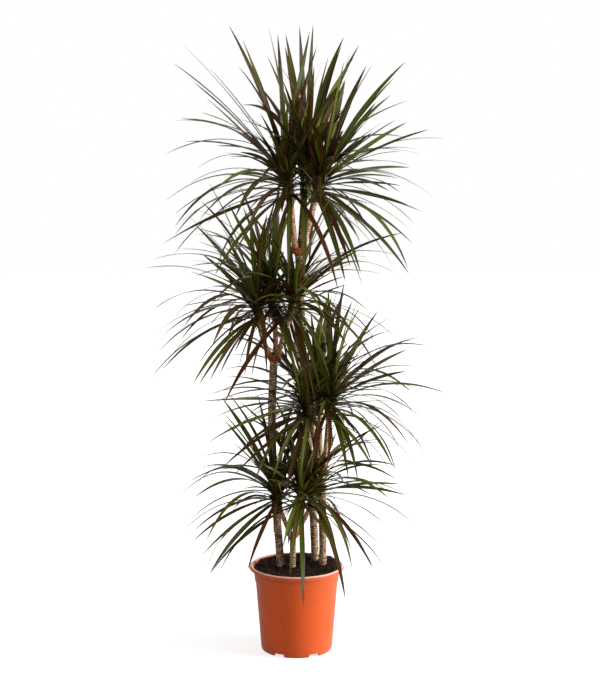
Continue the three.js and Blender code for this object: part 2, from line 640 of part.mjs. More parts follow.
// Stems first, then sheaths, because every leaf has to clear all of them.
const tiers = [];
for (const [caneIndex, cane] of canes.entries()) {
  const limb = new THREE.Group();
  plant.add(limb);
  limb.add(meshOf(`${cane.name}_cane`, stand(cane.name, cane.solid), COLOURS.cane));
  const shoot = SHOOTS[cane.name];
  const neighbours = [cane.hole];
  for (const [sideIndex, [sideName, side]] of Object.entries(shoot.sides).entries()) {
    const zone = leafZone(side, shoot.zone);
    const seed = 101 + 37 * caneIndex + 11 * sideIndex;
    const plans = planLeaves(shoot, PLACED[cane.name][sideName], zone, seed);
    const stem = makeShoot(side, shoot.radius, zone, plans[0].foot, neighbours);
    neighbours.push(stem.grown);
    const stemName = `${cane.name}_${sideName}_shoot`;
    limb.add(meshOf(stemName, stand(stemName, stem.solid), COLOURS.shoot));
    for (const [tierIndex, tier] of plans.entries()) {
      const name = `${cane.name}_${sideName}_${tier.name}_leaves`;
      const outer = shoot.radius + tier.wall;
      const sheath = makeSheath(zone, tier.foot, tier.top, shoot.radius, outer, tierIndex === 0);
      stand(name, sheath);
      tiers.push({ ...tier, name, sheath, shoot, zone, limb, outer, blades: [] });
    }
  }
}

function growLeaf(tier, leaf) {
  const centre = tier.zone.at(leaf.height);
  const wallRadius = tier.outer * SHEATH_FLAT;
  const places = leaf.row
    ? placedLeaves(leaf.row, centre, tier.shoot, leaf.width)
    : habitLeaves(leaf, centre);
  for (const place of places) {
    const blade = makeBlade(centre, tier.zone, wallRadius, place);
    if (clears(blade, tier.name, standing)) {
      tier.blades.push(blade);
      standing.push({ owner: tier.name, ...blade });
      return;
    }
  }
}

// The leaves with their own places grow first, and the rest of the plant fills in round them.
for (const isPlaced of [true, false]) {
  for (const tier of tiers) {
    for (const leaf of tier.leaves.filter((each) => Boolean(each.row) === isPlaced)) growLeaf(tier, leaf);
  }
}

for (const tier of tiers) {
  const solid = Manifold.union([tier.sheath, ...tier.blades.map((blade) => blade.whole)]);
  tier.limb.add(meshOf(tier.name, solid, COLOURS[tier.name.split("_")[2]]));
}

export default plant;
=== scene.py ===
# %% [markdown]
# # A potted dragon tree
# The plant is four canes rooted in one nursery pot. Each cane was sawn off, sprouted three side
# shoots under the cut, and every shoot carries a rosette of narrow leaves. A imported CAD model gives
# the real size and place of each piece, as plain faceted solids. This script keeps those places and
# makes every surface again with its fine shape and finish: the moulded pot, the crumbly soil, the
# ringed bark and the channelled leaf blades.

# %% Tools and the CAD frame
import math
import random

import bmesh
import bpy
import numpy as np
from mathutils import Matrix, Vector, noise


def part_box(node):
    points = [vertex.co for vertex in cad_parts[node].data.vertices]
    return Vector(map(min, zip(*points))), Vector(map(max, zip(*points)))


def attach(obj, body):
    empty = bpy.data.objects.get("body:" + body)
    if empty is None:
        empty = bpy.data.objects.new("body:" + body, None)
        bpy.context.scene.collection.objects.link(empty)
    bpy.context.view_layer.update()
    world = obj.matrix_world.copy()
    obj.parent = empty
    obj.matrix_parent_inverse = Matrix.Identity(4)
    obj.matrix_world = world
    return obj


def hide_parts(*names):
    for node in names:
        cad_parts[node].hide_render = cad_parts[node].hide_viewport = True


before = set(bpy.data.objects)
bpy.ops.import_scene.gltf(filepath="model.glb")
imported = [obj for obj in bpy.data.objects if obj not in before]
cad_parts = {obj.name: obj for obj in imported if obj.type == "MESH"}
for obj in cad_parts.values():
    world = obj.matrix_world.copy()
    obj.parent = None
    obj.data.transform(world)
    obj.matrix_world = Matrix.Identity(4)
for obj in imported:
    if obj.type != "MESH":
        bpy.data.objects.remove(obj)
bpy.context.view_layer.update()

MM = 0.001  # sizes are given in millimetres, and this brings them to Blender's metres
UP = Vector((0, 0, 1))
RIGHT = Vector((1, 0, 0))
FULL_TURN = 2 * math.pi

# %% [markdown]
# ## Camera
# The picture was taken from well back with a long lens, a little under the top of the plant and
# looking slightly down. A long lens keeps the upright canes parallel. The numbers below are where the
# camera stood, worked out from the pot's rim and base, which are circles of known size.

# %% Camera
PHOTO_SIZE = (600, 683)  # pixels
FOCAL_LENGTH = 1833  # pixels
AXIS_COLUMN = 296.6  # pixel column in which the pot's axis is seen
CAMERA_BACK = 4.5  # metres, as is the height
CAMERA_HEIGHT = 1.5
CAMERA_TILT = math.radians(8.97)

camera = bpy.data.objects.new("camera", bpy.data.cameras.new("camera"))
bpy.context.scene.collection.objects.link(camera)
camera.location = (0, -CAMERA_BACK, CAMERA_HEIGHT)
camera.rotation_euler = (math.pi / 2 - CAMERA_TILT, 0, 0)
camera.data.lens = camera.data.sensor_width * FOCAL_LENGTH / max(PHOTO_SIZE)
camera.data.shift_x = (PHOTO_SIZE[0] / 2 - AXIS_COLUMN) / max(PHOTO_SIZE)
bpy.context.scene.camera = camera
print("lens", round(camera.data.lens, 1), "mm")

# %% [markdown]
# ## Colours and nodes
# Colours are picked as sRGB hex values, which is how a screen shows them. A shader works in linear
# light, so one function converts them. A second function adds a node to a material together with its
# settings and its links, so that each material below reads as a short list of nodes.

# %% Colour and node helpers
MIX_A = 6  # a colour Mix node's sockets, which share their names with those of its other types
MIX_B = 7
MIX_RESULT = 2


def linear(hex_colour):
    """An sRGB hex colour as linear red, green, blue and alpha."""
    channels = [int(hex_colour[i : i + 2], 16) / 255 for i in (1, 3, 5)]
    bright = [c / 12.92 if c <= 0.04045 else ((c + 0.055) / 1.055) ** 2.4 for c in channels]
    return (*bright, 1.0)


def add_node(owner, kind, settings=None, inputs=None, stops=None):
    """Adds a node. An input is given a value, or another node's output to link it to."""
    node = owner.node_tree.nodes.new(kind)
    for name, value in (settings or {}).items():
        setattr(node, name, value)
    for name, value in (inputs or {}).items():
        if isinstance(value, bpy.types.NodeSocket):
            owner.node_tree.links.new(value, node.inputs[name])
        else:
            node.inputs[name].default_value = value
    for index, (place, colour) in enumerate(stops or ()):
        ramp = node.color_ramp.elements
        stop = ramp[index] if index < 2 else ramp.new(place)
        stop.position = place
        stop.color = linear(colour)
    return node


def new_material(name, **surface):
    """A material whose shader has these uniform values. Returns it with its shader."""
    material = bpy.data.materials.new(name)
    material.use_nodes = True
    shader = material.node_tree.nodes["Principled BSDF"]
    for socket, value in surface.items():
        shader.inputs[socket.replace("_", " ")].default_value = value
    return material, shader


def link(owner, source, target):
    """Links a node's output to another node's input."""
    owner.node_tree.links.new(source, target)


print("middle grey in linear light", round(linear("#808080")[0], 3))

# %% [markdown]
# ## Light and floor
# The picture is a studio one on white. One large soft light stands almost square to the right. It is
# tall and reaches down to the floor, so the whole pot is bright on that side and darker on the left.
# Another, high at the front left, fills the shadows, and a weak one shines down on the leaves from the
# right. The room in front is dim, and the white backdrop is bright at the back right, where the rim of
# the pot and the waxy leaves mirror it at a low angle. Here the world plays the backdrop, and the
# camera itself sees it plain white. The floor is pale, and turns white further from the pot. Its glow
# is for the camera alone, because a pot that mirrored it would look veiled in pink.

# %% Lights
scene = bpy.context.scene
scene.view_settings.view_transform = "Standard"
WHITE = (1, 1, 1, 1)


def area_light(name, place, target, width, height, power):
    """A soft rectangular light that faces a target."""
    light = bpy.data.objects.new(name, bpy.data.lights.new(name, "AREA"))
    light.data.shape = "RECTANGLE"
    light.data.size = width
    light.data.size_y = height
    light.data.energy = power
    light.location = place
    light.rotation_euler = (Vector(target) - Vector(place)).to_track_quat("-Z", "Y").to_euler()
    scene.collection.objects.link(light)


area_light("key_light", (3.0, -0.6, 1.1), target=(0, 0, 0.9), width=1.4, height=2.2, power=186)
area_light("top_light", (0.9, -0.9, 3.3), target=(0, 0, 0.9), width=1.2, height=1.2, power=6)
area_light("fill_light", (-1.5, -2.2, 2.6), target=(0, 0, 0.6), width=1.8, height=1.8, power=50)

# %% Backdrop
ROOM_GLOW = 0.15  # how bright the dim room is as a light
BACKDROP_GLOW = 1.2
BACKDROP_SIDE = (0.75, 0.66, 0)  # the way to the middle of the bright part of the backdrop
BACKDROP_EDGES = (0.15, 0.95)  # cosines from that way, at which the glow starts and is full

world = bpy.data.worlds.new("studio")
world.use_nodes = True
scene.world = world
direction = add_node(world, "ShaderNodeTexCoord")
towards = add_node(
    world,
    "ShaderNodeVectorMath",
    {"operation": "DOT_PRODUCT"},
    {0: direction.outputs["Generated"], 1: BACKDROP_SIDE},
)
glow = add_node(
    world,
    "ShaderNodeMapRange",
    inputs={
        "Value": towards.outputs["Value"],
        "From Min": BACKDROP_EDGES[0],
        "From Max": BACKDROP_EDGES[1],
        "To Min": ROOM_GLOW,
        "To Max": BACKDROP_GLOW,
    },
)
rays = add_node(world, "ShaderNodeLightPath")
strength = add_node(
    world,
    "ShaderNodeMath",
    {"operation": "MAXIMUM"},
    {0: glow.outputs["Result"], 1: rays.outputs["Is Camera Ray"]},
)
background = world.node_tree.nodes["Background"]
background.inputs["Color"].default_value = WHITE
link(world, strength.outputs[0], background.inputs["Strength"])
print("backdrop", BACKDROP_GLOW / ROOM_GLOW, "times as bright as the room")

# %% Floor
FLOOR_REACH = 8  # metres from the middle to each side
FLOOR_GLOW = (0.7, 1.0)  # beside the pot and far from it
GLOW_EDGES = (0.15, 1.6)  # metres from the pot's axis, between which the glow rises

floor_mesh = bmesh.new()
bmesh.ops.create_grid(floor_mesh, x_segments=1, y_segments=1, size=FLOOR_REACH)
floor_data = bpy.data.meshes.new("floor")
floor_mesh.to_mesh(floor_data)
floor_mesh.free()
floor = bpy.data.objects.new("floor", floor_data)
scene.collection.objects.link(floor)
floor_paint, shader = new_material("pale studio paint", Base_Color=linear("#b9b8b6"), Roughness=0.9)
place = add_node(floor_paint, "ShaderNodeTexCoord")
reach = add_node(
    floor_paint, "ShaderNodeVectorMath", {"operation": "LENGTH"}, {0: place.outputs["Object"]}
)
lit = add_node(
    floor_paint,
    "ShaderNodeMapRange",
    inputs={
        "Value": reach.outputs["Value"],
        "From Min": GLOW_EDGES[0],
        "From Max": GLOW_EDGES[1],
        "To Min": FLOOR_GLOW[0],
        "To Max": FLOOR_GLOW[1],
    },
)
rays = add_node(floor_paint, "ShaderNodeLightPath")
seen = add_node(
    floor_paint,
    "ShaderNodeMath",
    {"operation": "MULTIPLY"},
    {0: lit.outputs["Result"], 1: rays.outputs["Is Camera Ray"]},
)
shader.inputs["Emission Color"].default_value = WHITE
link(floor_paint, seen.outputs[0], shader.inputs["Emission Strength"])
floor_data.materials.append(floor_paint)
print("floor", 2 * FLOOR_REACH, "m across")

# %% [markdown]
# ## From a bmesh to a piece
# Each finished piece is a mesh whose place is in its vertices, so its object stays at the origin. It
# rides with the plant's one body and takes the place of a CAD node, which is then hidden.

# %% Piece helper
BODY = "root"


def finish_piece(name, bm, material, node):
    """Makes a bmesh into a smooth-shaded piece that stands for a CAD node."""
    mesh = bpy.data.meshes.new(name)
    bm.to_mesh(mesh)
    bm.free()
    for polygon in mesh.polygons:
        polygon.use_smooth = True
    mesh.materials.append(material)
    piece = bpy.data.objects.new(name, mesh)
    scene.collection.objects.link(piece)
    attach(piece, BODY)
    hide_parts(node)
    return piece


print("pieces ride on", BODY)

# %% [markdown]
# ## Pot plastic
# The pot is injection-moulded polypropylene, coloured right through in terracotta orange. It comes
# out of a polished steel mould with a satin skin, so it has a soft broad highlight, and its flanks
# look a little pale where light grazes them, which is what a sheen does. Handling leaves faint
# scuffs. The top of the rim is painted pale pink: a painted highlight where it faces up into the light.

# %% Material: injection-moulded polypropylene
MOTTLE = 45  # mm across a patch of slightly deeper or paler orange
SCUFF = 14  # mm along a scuff, which is drawn out round the pot
SCUFF_STRETCH = 7  # how many times as long as high it is
SKIN_GRAIN = 1.6  # mm, coarser than the real grain so that it shows
PAINTED_RIM_HIGHLIGHT = (214.8, 216.2)  # mm, the heights between which the rim turns pale

pot_plastic, shader = new_material(
    "injection-moulded polypropylene",
    IOR=1.49,
    Specular_IOR_Level=0.2,
    Sheen_Weight=0.25,
    Sheen_Roughness=0.5,
)
place = add_node(pot_plastic, "ShaderNodeTexCoord")
mottle = add_node(
    pot_plastic,
    "ShaderNodeTexNoise",
    inputs={"Vector": place.outputs["Object"], "Scale": 1 / (MOTTLE * MM), "Detail": 3.0},
)
orange = add_node(
    pot_plastic,
    "ShaderNodeValToRGB",
    inputs={"Fac": mottle.outputs["Fac"]},
    stops=[(0.3, "#c74b0a"), (0.7, "#cc4f0c")],
)
parts = add_node(pot_plastic, "ShaderNodeSeparateXYZ", inputs={"Vector": place.outputs["Object"]})
# A painted highlight: the top of the rim, which faces up into the light, is mixed towards pale pink.
rim_highlight_mask = add_node(
    pot_plastic,
    "ShaderNodeMapRange",
    inputs={
        "Value": parts.outputs["Z"],
        "From Min": PAINTED_RIM_HIGHLIGHT[0] * MM,
        "From Max": PAINTED_RIM_HIGHLIGHT[1] * MM,
        "To Min": 0.0,
        "To Max": 0.75,
    },
)
rim_highlighted = add_node(
    pot_plastic,
    "ShaderNodeMix",
    {"data_type": "RGBA"},
    {"Factor": rim_highlight_mask.outputs["Result"], MIX_A: orange.outputs["Color"], MIX_B: linear("#f3cdbb")},
)
drag = add_node(
    pot_plastic,
    "ShaderNodeMapping",
    inputs={"Vector": place.outputs["Object"], "Scale": (1, 1, SCUFF_STRETCH)},
)
scuffs = add_node(
    pot_plastic,
    "ShaderNodeTexNoise",
    inputs={"Vector": drag.outputs["Vector"], "Scale": 1 / (SCUFF * MM), "Detail": 6.0},
)
gloss = add_node(
    pot_plastic,
    "ShaderNodeMapRange",
    inputs={
        "Value": scuffs.outputs["Fac"],
        "From Min": 0.35,
        "From Max": 0.7,
        "To Min": 0.34,
        "To Max": 0.5,
    },
)
skin = add_node(
    pot_plastic,
    "ShaderNodeTexNoise",
    inputs={"Vector": place.outputs["Object"], "Scale": 1 / (SKIN_GRAIN * MM), "Detail": 2.0},
)
bump = add_node(
    pot_plastic,
    "ShaderNodeBump",
    inputs={"Height": skin.outputs["Fac"], "Strength": 0.06, "Distance": 0.4 * MM},
)
link(pot_plastic, rim_highlighted.outputs[MIX_RESULT], shader.inputs["Base Color"])
link(pot_plastic, gloss.outputs["Result"], shader.inputs["Roughness"])
link(pot_plastic, bump.outputs["Normal"], shader.inputs["Normal"])
print("material", pot_plastic.name)

# %% [markdown]
# ## Pot
# A nursery pot is a turned shape: feet, a tapering wall, a step under the collar and a rolled rim. So
# half of its outline is drawn once and spun about the axis. Its sharp rings are then bevelled, since
# a mould has no knife edges. Six drain notches are cut through the feet with a Boolean modifier, as
# they are too sharp-sided to be pulled out of the spun rings.

# %% Pot body
POT_OUTLINE = [  # radius and height in mm, from the middle underneath, up the outside and down inside
    (0, 5), (60, 5), (83, 5), (83.6, 0), (88, 0), (90, 5), (93, 42), (98.5, 112), (103.5, 175),
    (105.5, 178), (109, 205), (116, 208), (120, 211), (119.4, 215), (115.5, 218), (111.8, 217),
    (106.8, 205), (103.3, 179), (101.2, 175), (96.2, 112), (90.8, 42), (87.8, 7.4), (60, 7.4), (0, 7.4),
]
POT_STEPS = 160
SHARP_RING = math.radians(22)  # a ring that turns by more than this is bevelled
RING_BEVEL = 0.7
TOUCHING = 0.01  # mm, closer than which two of the pot's corners are one

pot_mesh = bmesh.new()
outline = [pot_mesh.verts.new((radius * MM, 0, height * MM)) for radius, height in POT_OUTLINE]
sides = [pot_mesh.edges.new(pair) for pair in zip(outline, outline[1:])]
profile = outline + sides
bmesh.ops.spin(
    pot_mesh, geom=profile, axis=UP, cent=(0, 0, 0), angle=FULL_TURN, steps=POT_STEPS, use_merge=True
)
bmesh.ops.remove_doubles(pot_mesh, verts=pot_mesh.verts, dist=TOUCHING * MM)
bmesh.ops.recalc_face_normals(pot_mesh, faces=pot_mesh.faces)
sharp = [
    edge
    for edge in pot_mesh.edges
    if len(edge.link_faces) == 2
    and edge.calc_face_angle() > SHARP_RING
    and abs(edge.verts[0].co.z - edge.verts[1].co.z) < TOUCHING * MM
]
bmesh.ops.bevel(
    pot_mesh, geom=sharp, offset=RING_BEVEL * MM, segments=2, affect="EDGES", profile=0.5, material=-1
)
print("bevelled ring edges", len(sharp))

# %% Drain notches
NOTCHES = 6
NOTCH_WIDTH = 27
NOTCH_TOP = 8
NOTCH_FLARE = 1.3  # how much wider a notch is at the floor
NOTCH_MIDDLE = 91  # radius of the cutter's middle
NOTCH_DEPTH = 24
SHARP_EDGE = math.radians(35)  # an edge that turns by more than this isn't shaded smooth

cutters = bmesh.new()
for i in range(NOTCHES):
    cutter = bmesh.ops.create_cube(cutters, size=1)["verts"]
    bmesh.ops.scale(cutters, verts=cutter, vec=(NOTCH_DEPTH * MM, NOTCH_WIDTH * MM, 2 * NOTCH_TOP * MM))
    foot_side = [vert for vert in cutter if vert.co.z < 0]
    bmesh.ops.scale(cutters, verts=foot_side, vec=(1, NOTCH_FLARE, 1))
    bmesh.ops.translate(cutters, verts=cutter, vec=(NOTCH_MIDDLE * MM, 0, 0))
    turn = Matrix.Rotation(i * FULL_TURN / NOTCHES, 3, "Z")
    bmesh.ops.rotate(cutters, verts=cutter, cent=(0, 0, 0), matrix=turn)
cutter_data = bpy.data.meshes.new("notch_cutters")
cutters.to_mesh(cutter_data)
cutters.free()
cutter_object = bpy.data.objects.new("notch_cutters", cutter_data)
scene.collection.objects.link(cutter_object)

pot = finish_piece("moulded_pot", pot_mesh, pot_plastic, "pot")
notch = pot.modifiers.new("drain notches", "BOOLEAN")
notch.operation = "DIFFERENCE"
notch.solver = "EXACT"
notch.object = cutter_object
bpy.context.view_layer.update()
cut_pot = bpy.data.meshes.new_from_object(pot.evaluated_get(bpy.context.evaluated_depsgraph_get()))
pot.modifiers.clear()
pot.data = cut_pot
pot.data.set_sharp_from_angle(angle=SHARP_EDGE)
bpy.data.objects.remove(cutter_object)
print("pot faces", len(pot.data.polygons))

# %% [markdown]
# ## Potting mix
# The mix is peat and fine bark: nearly black when damp, dull, and full of crumbs. Peat scatters light
# in its pores, so it has almost no shine. The colour varies from crumb to crumb, with some lighter
# fibres of bark.

# %% Material: damp peat
PEAT_CRUMB = 5  # mm across a crumb of one colour
PEAT_GRIT = 2

peat, shader = new_material("damp peat and bark", Roughness=0.95, Specular_IOR_Level=0.15)
place = add_node(peat, "ShaderNodeTexCoord")
crumb = add_node(
    peat,
    "ShaderNodeTexVoronoi",
    inputs={"Vector": place.outputs["Object"], "Scale": 1 / (PEAT_CRUMB * MM), "Randomness": 1.0},
)
tint = add_node(
    peat,
    "ShaderNodeValToRGB",
    inputs={"Fac": crumb.outputs["Color"]},
    stops=[(0.15, "#140d09"), (0.6, "#2a1b12"), (0.95, "#4a3322")],
)
grit = add_node(
    peat,
    "ShaderNodeTexNoise",
    inputs={"Vector": place.outputs["Object"], "Scale": 1 / (PEAT_GRIT * MM), "Detail": 5.0},
)
bump = add_node(
    peat,
    "ShaderNodeBump",
    inputs={"Height": grit.outputs["Fac"], "Strength": 0.8, "Distance": 1.5 * MM},
)
link(peat, tint.outputs["Color"], shader.inputs["Base Color"])
link(peat, bump.outputs["Normal"], shader.inputs["Normal"])
print("material", peat.name)

# %% [markdown]
# ## Soil
# The soil is a plug that fills the pot, so it starts as a tapered cylinder. Its top face is inset
# again and again, which gives rings of small faces that can be lifted into lumps. The soil is heaped
# towards the back and the right, where it reaches the pot's rim and leans on its flare. The wall of
# the pot turns outwards there, so the plug is given one more ring of corners at that height. Loose
# crumbs are scattered on it: each is a rough ball of twenty faces, because there are hundreds.

# %% Soil
SOIL_LEVEL = 212.5
SOIL_RADIUS = 103.6  # where the plug's straight side would meet its surface
SOIL_FOOT = 86  # its radius at the bottom
HEAP_BACK = 6  # how much higher the soil stands at the rim on that side
HEAP_RIGHT = 4
RIM_INSIDE = 111.5
LUMP = (24, 3.4)  # width and height of a lump as big as a thumb
CLOD = (7, 1.8)  # and of a smaller one
FLARE_FOOT = 202  # above this height the soil leans outwards on the pot's flare
FLARE = 0.45
NEAR_RIM = 8  # the power of its place along the radius that keeps that lean near the rim
SOIL_RINGS = 34
SURFACE_MARGIN = 0.1  # a corner that is no further than this under the level is on the surface


def soil_height(x, y):
    """Height of the soil's surface: the heap and the two sizes of lumps."""
    heap = (HEAP_BACK * y + HEAP_RIGHT * x) / RIM_INSIDE
    lumps = LUMP[1] * MM * noise.noise(Vector((x, y, 0)) / (LUMP[0] * MM))
    clods = CLOD[1] * MM * noise.noise(Vector((x, y, 0.1)) / (CLOD[0] * MM))
    return SOIL_LEVEL * MM + heap + lumps + clods


soil_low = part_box("potting_soil")[0].z
soil_mesh = bmesh.new()
bmesh.ops.create_cone(
    soil_mesh,
    cap_ends=True,
    segments=128,
    radius1=SOIL_FOOT * MM,
    radius2=SOIL_RADIUS * MM,
    depth=SOIL_LEVEL * MM - soil_low,
)
bmesh.ops.translate(soil_mesh, verts=soil_mesh.verts, vec=(0, 0, (SOIL_LEVEL * MM + soil_low) / 2))
plug = soil_mesh.verts[:] + soil_mesh.edges[:] + soil_mesh.faces[:]
bmesh.ops.bisect_plane(soil_mesh, geom=plug, plane_co=(0, 0, FLARE_FOOT * MM), plane_no=UP)
top = max(soil_mesh.faces, key=lambda face: face.calc_center_median().z)
for _ in range(SOIL_RINGS - 1):
    bmesh.ops.inset_region(soil_mesh, faces=[top], thickness=SOIL_RADIUS * MM / SOIL_RINGS)
bmesh.ops.poke(soil_mesh, faces=[top])
for vert in soil_mesh.verts:
    if vert.co.z > SOIL_LEVEL * MM - SURFACE_MARGIN * MM:
        vert.co.z = soil_height(vert.co.x, vert.co.y)
        outward = Vector((vert.co.x, vert.co.y, 0))
        near_rim = (outward.length / (SOIL_RADIUS * MM)) ** NEAR_RIM
        lean = max(0, vert.co.z - FLARE_FOOT * MM) * FLARE * near_rim
        vert.co += outward.normalized() * lean
print("soil plug faces", len(soil_mesh.faces))

# %% Loose crumbs
CRUMBS = 700
CRUMB_REACH = 0.99  # share of the soil's radius over which they are strewn
CRUMB_SIZE = (1.4, 4.4)  # mm, the radius before a second draw makes it smaller
CRUMB_DENT = (0.75, 1.2)  # by what a corner is brought nearer to a crumb's middle or further away
CRUMB_WIDTH = (0.6, 1)  # share of a crumb's length
CRUMB_HEIGHT = (0.5, 0.8)
CRUMB_RISE = 0.2  # share of its radius by which a crumb's middle is above the soil

random.seed(7)
for _ in range(CRUMBS):
    reach = SOIL_RADIUS * MM * math.sqrt(random.random()) * CRUMB_REACH
    angle = FULL_TURN * random.random()
    x, y = reach * math.cos(angle), reach * math.sin(angle)
    radius = MM * random.uniform(*CRUMB_SIZE) * random.random() ** 0.5
    crumb_verts = bmesh.ops.create_icosphere(soil_mesh, subdivisions=1, radius=radius)["verts"]
    for vert in crumb_verts:
        vert.co *= random.uniform(*CRUMB_DENT)
    flattened = (1, random.uniform(*CRUMB_WIDTH), random.uniform(*CRUMB_HEIGHT))
    bmesh.ops.scale(soil_mesh, verts=crumb_verts, vec=flattened)
    turn = Matrix.Rotation(FULL_TURN * random.random(), 3, "Z")
    bmesh.ops.rotate(soil_mesh, verts=crumb_verts, cent=(0, 0, 0), matrix=turn)
    height = soil_height(x, y) + CRUMB_RISE * radius
    bmesh.ops.translate(soil_mesh, verts=crumb_verts, vec=(x, y, height))
soil = finish_piece("crumbly_soil", soil_mesh, peat, "potting_soil")
print("soil faces", len(soil.data.polygons))

# %% [markdown]
# ## Bark
# A dragon tree's stem keeps the scar of every leaf that it dropped: a thin crescent that goes most of
# the way round, a few millimetres above the one before. On an old cane the scars are dry ridges, grey
# white where the cork has weathered and brown between. On a young shoot they are fresh, and the skin
# is brown and cream. Where a shoot broke out of the cane the bark is torn, swollen and rusty orange.
# The ridges are real geometry here. Each vertex remembers in an attribute named scar how high it
# stands on its ridge, and in one named torn how ragged it is, so that the colour follows the shape.
# The darkest colour lies in the groove under each scar's sharp edge, and that is painted shade.

# %% Materials: old and young bark
BARK_BLOTCH = 9  # mm across a weathered patch
CORK_GRAIN = 2.5
BLOTCH_STRENGTH = 1.15  # how far a patch shifts the colour of the ridges
BLOTCH_MIDDLE = -0.54  # brings an average patch back to about no shift


def bark_material(name, stops, fleck, roughness):
    """Bark whose colour follows the scars, flecked with cork."""
    material, shader = new_material(name, Roughness=roughness, Specular_IOR_Level=0.25)
    scar = add_node(material, "ShaderNodeAttribute", {"attribute_name": "scar"})
    place = add_node(material, "ShaderNodeTexCoord")
    blotch = add_node(
        material,
        "ShaderNodeTexNoise",
        inputs={"Vector": place.outputs["Object"], "Scale": 1 / (BARK_BLOTCH * MM), "Detail": 5.0},
    )
    spread = add_node(
        material,
        "ShaderNodeMath",
        {"operation": "MULTIPLY_ADD"},
        {0: blotch.outputs["Fac"], 1: BLOTCH_STRENGTH, 2: BLOTCH_MIDDLE},
    )
    height = add_node(
        material, "ShaderNodeMath", {"operation": "ADD"}, {0: scar.outputs["Fac"], 1: spread.outputs[0]}
    )
    # The lowest stop colours the groove under each scar's edge: the bark's brown, darkened there as
    # painted shade.
    colour = add_node(material, "ShaderNodeValToRGB", inputs={"Fac": height.outputs[0]}, stops=stops)
    cork = add_node(
        material,
        "ShaderNodeTexNoise",
        inputs={"Vector": place.outputs["Object"], "Scale": 1 / (CORK_GRAIN * MM), "Detail": 4.0},
    )
    mask = add_node(
        material,
        "ShaderNodeMapRange",
        inputs={
            "Value": cork.outputs["Fac"],
            "From Min": 0.55,
            "From Max": 0.75,
            "To Min": 0.0,
            "To Max": 0.55,
        },
    )
    flecked = add_node(
        material,
        "ShaderNodeMix",
        {"data_type": "RGBA"},
        {"Factor": mask.outputs["Result"], MIX_A: colour.outputs["Color"], MIX_B: linear(fleck)},
    )
    torn = add_node(material, "ShaderNodeAttribute", {"attribute_name": "torn"})
    rust = add_node(
        material,
        "ShaderNodeValToRGB",
        inputs={"Fac": cork.outputs["Fac"]},
        stops=[(0.3, "#3f1d0a"), (0.52, "#8c4415"), (0.72, "#c98a52")],
    )
    ragged = add_node(
        material,
        "ShaderNodeMix",
        {"data_type": "RGBA"},
        {"Factor": torn.outputs["Fac"], MIX_A: flecked.outputs[MIX_RESULT], MIX_B: rust.outputs["Color"]},
    )
    bump = add_node(
        material,
        "ShaderNodeBump",
        inputs={"Height": cork.outputs["Fac"], "Strength": 0.7, "Distance": 1.0 * MM},
    )
    link(material, ragged.outputs[MIX_RESULT], shader.inputs["Base Color"])
    link(material, bump.outputs["Normal"], shader.inputs["Normal"])
    return material


# In both barks the darkest stop is painted shade in the grooves, and the palest is the scars' own colour.
old_bark = bark_material(
    "weathered cane bark",
    stops=[(0.08, "#442b19"), (0.46, "#82593c"), (0.88, "#ead3b2")],
    fleck="#efdfc4",
    roughness=0.85,
)
young_bark = bark_material(
    "young shoot bark",
    stops=[(0.06, "#3a200f"), (0.38, "#9a6339"), (0.8, "#f2d8b0")],
    fleck="#c07a42",
    roughness=0.7,
)
print("materials", old_bark.name, "and", young_bark.name)

# %% [markdown]
# ## Reading a stem off the frame
# Every stem is a long round bar that bends a little. Its middle line is read off the CAD solid: the
# solid is cut level at many heights, and the middle of each cut is a point of the line. A smooth
# curve through those points gives the line at any height.

# %% Stem reader
CUT_STEP = 12  # mm between two level cuts of a CAD stem
END_MARGIN = 8  # mm at each end of a stem that are left out, as the end may lie at a slant
WELD = 0.002  # mm, closer than which the corners of a CAD node are one


def welded_copy(node):
    """A bmesh of a CAD node with the corners of its loose triangles merged."""
    bm = bmesh.new()
    bm.from_mesh(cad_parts[node].data)
    bmesh.ops.remove_doubles(bm, verts=bm.verts, dist=WELD * MM)
    return bm


def stem_line(node, bend):
    """The curve up the middle of a CAD stem, as a function of height, and the stem's radius."""
    bm = welded_copy(node)
    low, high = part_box(node)
    heights = np.arange(low.z + END_MARGIN * MM, high.z - END_MARGIN * MM, CUT_STEP * MM)
    middles, widths = [], []
    for height in heights:
        solid = bm.verts[:] + bm.edges[:] + bm.faces[:]
        cut = bmesh.ops.bisect_plane(bm, geom=solid, plane_co=(0, 0, height), plane_no=UP)["geom_cut"]
        ring = np.array([part.co[:2] for part in cut if isinstance(part, bmesh.types.BMVert)])
        middles.append((ring.min(axis=0) + ring.max(axis=0)) / 2)
        widths.append(np.ptp(ring, axis=0).min())
    bm.free()
    middles = np.array(middles)
    along_x = np.polynomial.Polynomial.fit(heights, middles[:, 0], bend)
    along_y = np.polynomial.Polynomial.fit(heights, middles[:, 1], bend)
    radius = float(np.median(widths)) / 2
    return (lambda height: Vector((along_x(height), along_y(height), height))), radius


CANES = ("tall_cane", "left_cane", "right_cane", "short_cane")
SHOOTS = sorted(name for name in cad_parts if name.endswith("_shoot"))
CANE_BEND = 4  # degree of the curve along a cane
SHOOT_BEND = 3
stem_lines = {node: stem_line(node, CANE_BEND) for node in CANES}
stem_lines |= {node: stem_line(node, SHOOT_BEND) for node in SHOOTS}
print("stem diameters", {node: round(2 * radius / MM, 1) for node, (_, radius) in stem_lines.items()})

# %% [markdown]
# ## Canes and shoots
# The skin of a stem is a flat grid that is rolled round the stem's line like a sheet of paper. Its
# first and last rows are drawn together, which closes the ends. Each corner stands out by its place on
# a leaf scar: a ridge climbs slowly in a helix, and wanders up and down as real scars do. The bark is
# torn and swollen at a cane's sawn top and at a shoot's foot.

